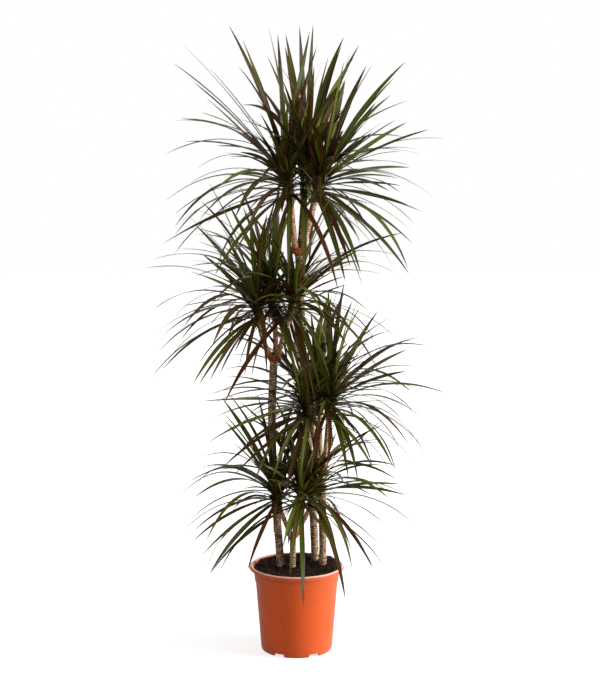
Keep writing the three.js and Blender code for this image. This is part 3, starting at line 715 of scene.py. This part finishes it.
# %% Bark skin
RIDGE_SHAPE = 1.6  # above 1, a scar rises slowly and ends in a sharp edge
WAVE_PACE = 0.8  # how quickly a scar wanders up and down on its way round the stem
WAVE_HEIGHT = 0.7  # and how far, as a share of the rings' spacing
WAVE_CHANGE = 40  # mm of height over which that wandering changes
RING_DRIFT = 11  # mm over which the spacing of the rings changes
DRIFT_HEIGHT = 0.9  # and by how much, as a share of it
KNOB = 30  # mm of height between two knobs
KNOB_HEIGHT = 0.05  # share of the stem's radius, as are the next two
TORN_SWELL = 0.16  # how far torn bark stands out
TORN_ROUGHNESS = 0.3  # and how uneven it is
TORN_FINENESS = 2.5  # how many times as fine as knobs its lumps are
END_SCAR = 0.55  # the scar value of the end caps, for a middling colour
SEAM = 0.005  # mm, closer than which the corners of a rolled sheet are one


def smoothstep(low, high, value):
    """A smooth rise from 0 at one value to 1 at another."""
    share = min(1.0, max(0.0, (value - low) / (high - low)))
    return share * share * (3 - 2 * share)


def rolled_sheet(bm, around, rows, place):
    """Rolls a grid into a tube. place(turn, row) gives a point. Returns each corner, turn and row."""
    made = bmesh.ops.create_grid(bm, x_segments=around, y_segments=rows, size=0.5, calc_uvs=True)["verts"]
    sheet = [(vert, vert.co.x + 0.5, round((vert.co.y + 0.5) * rows)) for vert in made]
    for vert, turn, row in sheet:
        vert.co = place(turn, row)
    return sheet


def stem_skin(bm, line, radius, low, high, torn_at, pitch, ridge, row_step, sides):
    """The ringed bark of one stem, between two heights. torn_at(height) says how ragged it is."""
    scar = bm.verts.layers.float.new("scar")
    torn = bm.verts.layers.float.new("torn")
    rows = int((high - low) / (row_step * MM))
    seed = Vector((radius * 999, low * 10, high * 10))  # so that no two stems wander alike

    def ridge_at(turn, height):
        """How high a point stands on its leaf scar, from 0 in the groove to 1 on the edge."""
        angle = turn * FULL_TURN
        around = Vector((math.cos(angle), math.sin(angle), height / (WAVE_CHANGE * MM)))
        wave = WAVE_HEIGHT * noise.noise(seed + WAVE_PACE * around)
        drift = DRIFT_HEIGHT * noise.noise(seed + UP * height / (RING_DRIFT * MM))
        phase = (height / (pitch * MM) + turn + (wave + drift)) % 1
        return phase**RIDGE_SHAPE

    def place(turn, row):
        """The point of the bark at this turn of the stem and this row."""
        inner = min(max(row - 1, 0), rows - 2)
        height = low + (high - low) * inner / (rows - 2)
        centre = line(height)
        if row in (0, rows):
            return centre
        ahead = (line(height + 1 * MM) - line(height - 1 * MM)).normalized()
        side = (RIGHT - ahead * ahead.dot(RIGHT)).normalized()
        front = ahead.cross(side)
        angle = turn * FULL_TURN
        rough = Vector((math.cos(angle), math.sin(angle), height / (KNOB * MM)))
        lumps = TORN_SWELL + TORN_ROUGHNESS * noise.noise(seed + rough * TORN_FINENESS)
        swell = 1 + torn_at(height) * lumps
        knobbly = KNOB_HEIGHT * noise.noise(seed + rough)
        reach = radius * (swell + knobbly) + ridge * MM * (ridge_at(turn, height) - 0.5)
        return centre + (side * math.cos(angle) + front * math.sin(angle)) * reach

    sheet = rolled_sheet(bm, sides, rows, place)
    for vert, turn, row in sheet:
        height = low + (high - low) * row / rows
        vert[scar] = END_SCAR if row in (0, rows) else ridge_at(turn % 1, height)
        vert[torn] = torn_at(height)
    bmesh.ops.remove_doubles(bm, verts=[vert for vert, _, _ in sheet], dist=SEAM * MM)


def bark_piece(node, torn_at, material, slot, **rings):
    """Makes the bark that stands for one CAD stem."""
    low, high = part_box(node)
    line, radius = stem_lines[node]
    bark = bmesh.new()
    stem_skin(bark, line, radius, low.z, high.z, torn_at, **rings)
    bmesh.ops.recalc_face_normals(bark, faces=bark.faces)
    return finish_piece(f"{node}_bark", bark, material, node)


print("smoothstep", [round(smoothstep(0, 1, share / 4), 2) for share in range(5)])

# %% Canes
CANE_RINGS = {"pitch": 4.6, "ridge": 0.9, "row_step": 1.1, "sides": 24}  # the first three in mm
TORN_TOP = (26, 13)  # mm under a cane's sawn top, where its bark starts to be torn and is fully torn


def torn_top(top):
    """How ragged a cane with this top is, as a function of height."""
    return lambda height: smoothstep(top - TORN_TOP[0] * MM, top - TORN_TOP[1] * MM, height)


for node in CANES:
    cane = bark_piece(node, torn_top(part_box(node)[1].z), old_bark, "cane_bark", **CANE_RINGS)
    print(cane.name, "faces", len(cane.data.polygons))

# %% Shoots
SHOOT_RINGS = {"pitch": 3.4, "ridge": 1.0, "row_step": 1.0, "sides": 20}
TORN_FOOT = (10.2, 34)  # mm above a shoot's foot, up to which its bark is fully torn and torn at all


def torn_foot(foot):
    """How ragged a shoot with this foot is, as a function of height."""
    return lambda height: 1 - smoothstep(foot + TORN_FOOT[0] * MM, foot + TORN_FOOT[1] * MM, height)


for node in SHOOTS:
    bark_piece(node, torn_foot(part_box(node)[0].z), young_bark, "shoot_bark", **SHOOT_RINGS)
print("shoots", len(SHOOTS))

# %% [markdown]
# ## Leaf colours
# A leaf is waxy and stiff. Its middle is dark green and its margins are maroon, and fine veins run its
# whole length. Young leaves in the heart of a rosette are a fresher green, and the oldest ones that
# hang under it are browner. The base of a blade is a dull yellowish tan. The wax gives long narrow
# highlights. Across a blade the pattern follows the blade's own UV map: u goes from one margin to the
# other, and v from the base to the tip. An attribute named tone shifts each leaf a little, because no
# two have the same colour. The margins, the tan base and the brown tip are laid over the green one by
# one, each through a mask.

# %% Materials: waxy leaves
VEINS = (16, 1.6, 1)  # streaks across a blade and along it
VEIN_REACH = 0.16  # how far the veins fray the margin's colour, as a share of the width
MARGIN_BLUR = 0.06  # half the width over which the two colours blend
MARGIN_SPREAD = (1.8, 0.2)  # the margin of the darkest leaf and of the palest, as multiples of the usual
BASE_TAN = (0.16, 0.32)  # the shares of a blade's length between which its base turns green
TIP_BROWN = (0.8, 1.0)  # and those between which its tip turns brown


def leaf_material(name, heart, pale_heart, margin, margin_share, tip, roughness):
    """A leaf with a green heart and coloured margins, as wide as a share of the blade."""
    material, shader = new_material(name, Roughness=roughness, IOR=1.45, Specular_IOR_Level=0.3)
    place = add_node(material, "ShaderNodeUVMap")
    tone = add_node(material, "ShaderNodeAttribute", {"attribute_name": "tone"})
    parts = add_node(material, "ShaderNodeSeparateXYZ", inputs={"Vector": place.outputs["UV"]})
    off_centre = add_node(
        material, "ShaderNodeMath", {"operation": "SUBTRACT"}, {0: parts.outputs["X"], 1: 0.5}
    )
    from_middle = add_node(
        material, "ShaderNodeMath", {"operation": "ABSOLUTE"}, {0: off_centre.outputs[0]}
    )
    streaks = add_node(
        material, "ShaderNodeMapping", inputs={"Vector": place.outputs["UV"], "Scale": VEINS}
    )
    shifted = add_node(
        material,
        "ShaderNodeVectorMath",
        {"operation": "ADD"},
        {0: streaks.outputs["Vector"], 1: tone.outputs["Vector"]},
    )
    veins = add_node(
        material,
        "ShaderNodeTexNoise",
        inputs={"Vector": shifted.outputs["Vector"], "Scale": 1.0, "Detail": 3.0},
    )
    greens = add_node(
        material,
        "ShaderNodeMix",
        {"data_type": "RGBA"},
        {"Factor": tone.outputs["Fac"], MIX_A: linear(heart), MIX_B: linear(pale_heart)},
    )
    edge = add_node(
        material,
        "ShaderNodeMath",
        {"operation": "MULTIPLY_ADD"},
        {0: veins.outputs["Fac"], 1: VEIN_REACH, 2: from_middle.outputs[0]},
    )
    widest, narrowest = (margin_share * spread for spread in MARGIN_SPREAD)
    blade_edge = 0.5 + VEIN_REACH / 2  # half the blade, and what the veins add to it on average
    reach = add_node(  # how far the green reaches: not as far on a dark leaf as on a pale one
        material,
        "ShaderNodeMath",
        {"operation": "MULTIPLY_ADD"},
        {0: tone.outputs["Fac"], 1: widest - narrowest, 2: blade_edge - widest},
    )
    inside = add_node(
        material, "ShaderNodeMath", {"operation": "SUBTRACT"}, {0: edge.outputs[0], 1: reach.outputs[0]}
    )
    layers = (  # each: what it goes by, from where to where, how strong at both, its colour
        (inside.outputs[0], (-MARGIN_BLUR, MARGIN_BLUR), (0.0, 1.0), margin),
        (parts.outputs["Y"], BASE_TAN, (0.8, 0.0), "#7d7240"),
        (parts.outputs["Y"], TIP_BROWN, (0.0, 0.8), tip),
    )
    colour = greens.outputs[MIX_RESULT]
    for value, places, strengths, layer_colour in layers:
        mask = add_node(
            material,
            "ShaderNodeMapRange",
            inputs={
                "Value": value,
                "From Min": places[0],
                "From Max": places[1],
                "To Min": strengths[0],
                "To Max": strengths[1],
            },
        )
        layer = add_node(
            material,
            "ShaderNodeMix",
            {"data_type": "RGBA"},
            {"Factor": mask.outputs["Result"], MIX_A: colour, MIX_B: linear(layer_colour)},
        )
        colour = layer.outputs[MIX_RESULT]
    bump = add_node(
        material,
        "ShaderNodeBump",
        inputs={"Height": veins.outputs["Fac"], "Strength": 0.25, "Distance": 0.4 * MM},
    )
    link(material, colour, shader.inputs["Base Color"])
    link(material, bump.outputs["Normal"], shader.inputs["Normal"])
    return material


LEAF_FINISHES = {
    "young": leaf_material("waxy young leaf", "#35430f", "#58641a", "#4c2717", 0.22, "#3a2414", 0.24),
    "middle": leaf_material("waxy green leaf", "#2d3a10", "#57661d", "#462317", 0.23, "#301a10", 0.22),
    "old": leaf_material("waxy old leaf", "#2a3411", "#505b1e", "#472615", 0.26, "#301a10", 0.2),
}
print("materials", [material.name for material in LEAF_FINISHES.values()])

# %% [markdown]
# ## Reading a blade off the frame
# In the CAD model a leaf is a three-sided bar: rings of two margins and a keel, joined up to a pointed
# tip. Each blade bends along one arc, a quadratic Bezier curve, so the whole of it can be worked out
# from what is easy to find. The tip is the only corner that has three long edges. From there the rings
# are found one by one down the blade. The rings and the tip give the curve, and the second ring gives
# the width and the way across, from which the twist follows.

# %% Blade reader
RING_PLACES = (0.74, 0.46, 0.2)  # where the CAD blade's rings lie along it, from the tip down
TIP_EDGE = 30  # mm, the least length of the edges at a tip


def margins_of(ring):
    """A ring's middle, the direction from one margin to the other, and its width."""
    pairs = [(ring[0], ring[1]), (ring[1], ring[2]), (ring[2], ring[0])]
    first, second = max(pairs, key=lambda pair: (pair[0] - pair[1]).length)
    across = first - second
    return (first + second) / 2, across.normalized(), across.length


def rings_below(tip):
    """The rings of three corners that follow each other down a blade from its tip."""
    seen = {tip}
    ring = {edge.other_vert(tip) for edge in tip.link_edges}
    rings = []
    while len(ring) == 3 and len(rings) < len(RING_PLACES):
        rings.append([vert.co.copy() for vert in ring])
        seen |= ring
        ring = {edge.other_vert(vert) for vert in ring for edge in vert.link_edges} - seen
    return rings


def read_blades(node):
    """The blades of a CAD leaf tier: start, bend, tip, width and way across of each."""
    bm = welded_copy(node)
    blades = []
    for tip in bm.verts:
        edges = tip.link_edges
        if len(edges) != 3 or min(edge.calc_length() for edge in edges) < TIP_EDGE * MM:
            continue
        rings = rings_below(tip)
        if len(rings) < 2:
            continue
        measured = [margins_of(ring) for ring in rings]
        shares = np.array(RING_PLACES[: len(rings)])
        target = np.array([middle for middle, _, _ in measured]) - np.outer(shares**2, tip.co)
        weights = np.stack([(1 - shares) ** 2, 2 * shares * (1 - shares)], axis=1)
        start, bend = np.linalg.lstsq(weights, target, rcond=None)[0]
        _, across, width = measured[1]
        blade = {"start": Vector(start), "bend": Vector(bend), "tip": tip.co.copy()}
        blades.append(blade | {"width": width, "across": across})
    bm.free()
    return blades


foliage = sorted(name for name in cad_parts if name.endswith("_leaves"))
tiers = {node: read_blades(node) for node in foliage}
print("blades", sum(len(blades) for blades in tiers.values()), "in", len(tiers), "tiers")

# %% [markdown]
# ## Growing a blade
# A real blade starts as a sheath that clasps the stem, narrows, widens to its full width before its
# middle and then tapers to a long fine point. It is channelled like a shallow gutter, deepest at the
# base. So each leaf is a small grid of four strips, two on top and two underneath, rolled along its
# curve: the grid's rows set the width, the channel and the thickness. A few rows under the start of
# the curve lie along the stem and make the clasping base. The margins are marked sharp, because a
# blade's two faces meet there in a thin edge.

# %% The rows of a blade
STATIONS = (0.02, 0.07, 0.13, 0.2, 0.28, 0.37, 0.46, 0.55, 0.64, 0.73, 0.81, 0.88, 0.94, 0.975, 1.0)
WIDTHS = (  # share of the greatest width along the blade
    (0, 0.07, 0.2, 0.46, 0.6, 0.74, 0.86, 0.94, 1.0),
    (0.84, 0.82, 0.94, 1.0, 0.93, 0.73, 0.46, 0.24, 0.02),
)
CHANNEL = ((0, 0.1, 0.3, 0.7, 1), (0.3, 0.22, 0.13, 0.1, 0.05))  # depth as a share of the width
THICKNESS = ((0, 0.1, 0.5, 1), (1.5, 1.0, 0.7, 0.25))  # mm at the midrib
TWIST_DONE = 0.45  # a blade has its whole twist this far along
FREE_FROM = 0.16  # and is free of its clasping base this far along
CURL = 0.5  # radians at most, by which the outer part of a blade turns either way
CURL_FROM = 0.5  # and how far along it that part starts
BASE_DROPS = (16, 16, 9, 2)  # mm under the start of the curve, for the rows of the clasping base
BASE_WIDTH = 17  # mm
BASE_CHANNEL = 4.5
BASE_THICKNESS = 1.4  # at the midrib, but none at the lowest rows
BASE_GAP = 0.4  # mm outwards from where the CAD blade starts


def point_at(blade, share):
    """The point of a blade's curve at a share of its length."""
    start, bend, tip = blade["start"], blade["bend"], blade["tip"]
    return start * (1 - share) ** 2 + bend * 2 * share * (1 - share) + tip * share**2


def ahead_at(blade, share):
    """The direction of a blade's curve there."""
    start, bend, tip = blade["start"], blade["bend"], blade["tip"]
    return (2 * (1 - share) * (bend - start) + 2 * share * (tip - bend)).normalized()


def twist_of(blade, flat):
    """The angle at which the CAD blade's second ring lies to the level direction across it."""
    face = ahead_at(blade, RING_PLACES[1]).cross(flat)
    twist = math.atan2(-blade["across"].dot(face), blade["across"].dot(flat))
    return twist - math.copysign(math.pi, twist) if abs(twist) > math.pi / 2 else twist


def blade_rows(blade, along, slim, turned, chance):
    """Each row of a blade: its middle, its two directions, half its width, channel and thickness."""
    reach = blade["tip"] - blade["start"]
    outward = Vector((reach.x, reach.y, 0)).normalized()
    flat = UP.cross(outward)
    radial = (outward - along * outward.dot(along)).normalized()
    base_across = along.cross(radial)
    twist = turned * twist_of(blade, flat)
    curl = chance.uniform(-CURL, CURL)
    rows = []
    for drop in BASE_DROPS:
        middle = blade["start"] - along * drop * MM + radial * BASE_GAP * MM
        thick = 0 if drop == BASE_DROPS[0] else BASE_THICKNESS * MM
        rows.append((middle, base_across, -radial, BASE_WIDTH / 2 * MM, BASE_CHANNEL * MM, thick))
    for share in STATIONS:
        face = ahead_at(blade, share).cross(flat)
        angle = twist * min(1, share / TWIST_DONE) + curl * smoothstep(CURL_FROM, 1, share)
        across = flat * math.cos(angle) - face * math.sin(angle)
        up = face * math.cos(angle) + flat * math.sin(angle)
        free = smoothstep(0, FREE_FROM, share)
        across = base_across.lerp(across, free).normalized()
        up = (-radial).lerp(up, free).normalized()
        half = np.interp(share, *WIDTHS) * blade["width"] / 2 * slim
        half = BASE_WIDTH / 2 * MM * (1 - free) + half * free
        channel = np.interp(share, *CHANNEL) * 2 * half
        thick = np.interp(share, *THICKNESS) * MM
        rows.append((point_at(blade, share), across, up, half, channel, thick))
    return rows


print("rows in a blade", len(BASE_DROPS) + len(STATIONS))

# %% The mesh of a blade
STRIPS = 4  # two on top and two underneath
MARGINS = (0, 2)  # the corners of a row that are its margins
TOP_MIDRIB = 3
CLOSED = 0.001  # mm, closer than which two corners of a blade are one


def faces_of(verts):
    """The faces that meet at any of these corners."""
    return {face for vert in verts for face in vert.link_faces}


def grow_blade(bm, rows, tone_value):
    """Adds one closed blade to a bmesh, from its rows."""
    tone = bm.verts.layers.float.get("tone") or bm.verts.layers.float.new("tone")
    uv = bm.loops.layers.uv.get("UVMap") or bm.loops.layers.uv.new("UVMap")
    last = len(rows) - 1
    grid = bmesh.ops.create_grid(bm, x_segments=STRIPS, y_segments=last, size=0.5, calc_uvs=True)["verts"]
    for face in faces_of(grid):
        for loop in face.loops:
            turn, length = loop[uv].uv
            loop[uv].uv = (1 - abs(1 - 2 * turn), length)
    margins = []
    for vert in grid:
        turn, row = round((vert.co.x + 0.5) * STRIPS) % STRIPS, round((vert.co.y + 0.5) * last)
        middle, across, up, half, channel, thick = rows[row]
        vert[tone] = tone_value
        if row in (0, last):
            vert.co = middle
        elif turn in MARGINS:
            vert.co = middle + across * (half if turn == MARGINS[0] else -half) + up * channel
            margins.append(vert)
        else:
            vert.co = middle + up * (thick / 2 if turn == TOP_MIDRIB else -thick / 2)
    for vert in margins:
        for edge in vert.link_edges:
            if edge.other_vert(vert) in margins:
                edge.smooth = False
    bmesh.ops.remove_doubles(bm, verts=grid, dist=CLOSED * MM)


print("faces in a blade", STRIPS * (len(BASE_DROPS) + len(STATIONS) - 1))

# %% [markdown]
# ## Filling a rosette
# A rosette on the real plant has more leaves than a CAD model should carry. So each tier gets its CAD
# blades and three kinds of shorter ones, which are CAD blades copied and turned about the stem:
# sisters between its own blades, steep ones that close the rosette's heart, and drooping ones that
# cover its foot. Old blades hang rather flat, and those that hang before the pot are broad.

# %% The blades of a tier
SLIM = {"young": 0.98, "middle": 0.96, "old": 0.86}  # share of the CAD blade's width
TURNED = {"young": 1, "middle": 0.9, "old": 0.6}  # share of its twist
FRONT_TIP = (-180, 200)  # mm: y and height, beyond which a tip hangs before the pot
FRONT_SLIM = 1.18
FRONT_TURNED = 0.2
SISTERS = {"young": 1.0, "middle": 0.85, "old": 0.35}  # extra blades for each blade of the CAD
SISTER_LENGTH = (0.38, 0.8)  # share of the copied blade's length
SISTER_WIDTH = (0.75, 1.0)  # share of its width
SISTER_TURN = (0.6, 5.6)  # radians about the stem from the copied blade
SISTER_SHIFT = (-6, 8)  # mm up the stem from where the copied blade starts
HEART_LEAVES = {"young": 7, "middle": 8, "old": 3}
HEART_LENGTH = (0.22, 0.48)
CURLED_LEAVES = {"young": 0, "middle": 5, "old": 7}
CURLED_LENGTH = (0.2, 0.42)


def sister_of(blade, axis_point, along, lengths, shift, chance):
    """A shorter blade that starts at another place on the stem, between the others."""
    turn = Matrix.Rotation(chance.uniform(*SISTER_TURN), 3, along)
    length = chance.uniform(*lengths)
    rise = shift + chance.uniform(*SISTER_SHIFT) * MM
    start = axis_point + turn @ (blade["start"] - axis_point) + along * rise
    return {
        "start": start,
        "bend": start + turn @ (blade["bend"] - blade["start"]) * length,
        "tip": start + turn @ (blade["tip"] - blade["start"]) * length,
        "width": blade["width"] * chance.uniform(*SISTER_WIDTH),
        "across": turn @ blade["across"],
    }


def start_heights(blades, axis_point, along):
    """How high above a point of the stem each blade starts."""
    return [(blade["start"] - axis_point).dot(along) for blade in blades]


def tier_blades(shoot, age, axis_point, along, chance):
    """The CAD blades of a tier, and then its sisters, heart leaves and curled leaves."""
    own, steep = tiers[f"{shoot}_{age}_leaves"], tiers[f"{shoot}_young_leaves"]
    own_height, steep_height = (
        sum(start_heights(blades, axis_point, along)) / len(blades) for blades in (own, steep)
    )
    extra = (
        (round(SISTERS[age] * len(own)), own, SISTER_LENGTH, 0),
        (HEART_LEAVES[age], steep, HEART_LENGTH, own_height - steep_height),
        (CURLED_LEAVES[age], own, CURLED_LENGTH, 0),
    )
    blades = list(own)
    for count, models, lengths, shift in extra:
        for _ in range(count):
            blades.append(sister_of(chance.choice(models), axis_point, along, lengths, shift, chance))
    return blades


print("heart leaves in a tier", HEART_LEAVES)

# %% [markdown]
# ## Foliage
# Each tier of leaves is one piece: its blades, and the core of leaf bases that they are wrapped round.
# The core follows the shoot's own line, carried straight on past the end of the bark.

# %% Foliage
AXIS_DROP = 8  # mm under a shoot's top, a point of the straight axis of its rosette
AIM_DROP = 40  # and another one
CORE_WALL = {"young": 2, "middle": 4, "old": 4}  # mm of leaf bases round the stem
CORE_BELOW = 18  # mm from the lowest start of a blade down to the core's end
CORE_ABOVE = {"young": 10, "middle": 4, "old": 4}  # mm from the highest one up
CORE_FOOT = 0.9  # radius at the core's foot, as a share of the stem's
CORE_FULL = 0.4  # how far up the core its wall is at its thickest
CORE_TAPER = 0.5  # share of its radius that it has lost at its top
CORE_ROWS = 8
CORE_SIDES = 12
CORE_UV = 0.2  # the core has the colours of the lowest part of a blade


def add_core(bm, axis_point, along, low, high, thin, thick):
    """Adds the closed core between two heights above a point of the stem."""
    side = (RIGHT - along * along.dot(RIGHT)).normalized()
    front = along.cross(side)

    def place(turn, row):
        """The point of the core at this turn and this row."""
        share = min(max(row - 1, 0), CORE_ROWS - 2) / (CORE_ROWS - 2)
        centre = axis_point + along * (low + (high - low) * share)
        if row in (0, CORE_ROWS):
            return centre
        angle = turn * FULL_TURN
        reach = thin + (thick - thin) * smoothstep(0, CORE_FULL, share) * (1 - CORE_TAPER * share)
        return centre + (side * math.cos(angle) + front * math.sin(angle)) * reach

    core = [vert for vert, _, _ in rolled_sheet(bm, CORE_SIDES, CORE_ROWS, place)]
    uv = bm.loops.layers.uv["UVMap"]
    for face in faces_of(core):
        for loop in face.loops:
            loop[uv].uv.y *= CORE_UV
    bmesh.ops.remove_doubles(bm, verts=core, dist=SEAM * MM)


chance = random.Random(21)
for node in foliage:
    shoot, age, _ = node.rsplit("_", 2)
    line, radius = stem_lines[f"{shoot}_shoot"]
    shoot_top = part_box(f"{shoot}_shoot")[1].z
    axis_point = line(shoot_top - AXIS_DROP * MM)
    along = (axis_point - line(shoot_top - AIM_DROP * MM)).normalized()
    leaves = bmesh.new()
    for blade in tier_blades(shoot, age, axis_point, along, chance):
        in_front = blade["tip"].y < FRONT_TIP[0] * MM and blade["tip"].z < FRONT_TIP[1] * MM
        slim = FRONT_SLIM if in_front else SLIM[age]
        turned = FRONT_TURNED if in_front else TURNED[age]
        rows = blade_rows(blade, along, slim, turned, chance)
        grow_blade(leaves, rows, chance.random())
    bmesh.ops.recalc_face_normals(leaves, faces=leaves.faces)
    heights = start_heights(tiers[node], axis_point, along)
    low, high = min(heights) - CORE_BELOW * MM, max(heights) + CORE_ABOVE[age] * MM
    add_core(leaves, axis_point, along, low, high, CORE_FOOT * radius, radius + CORE_WALL[age] * MM)
    name = node.replace("_leaves", "_foliage")
    finish_piece(name, leaves, LEAF_FINISHES[age], node)
print("foliage pieces", len(foliage))
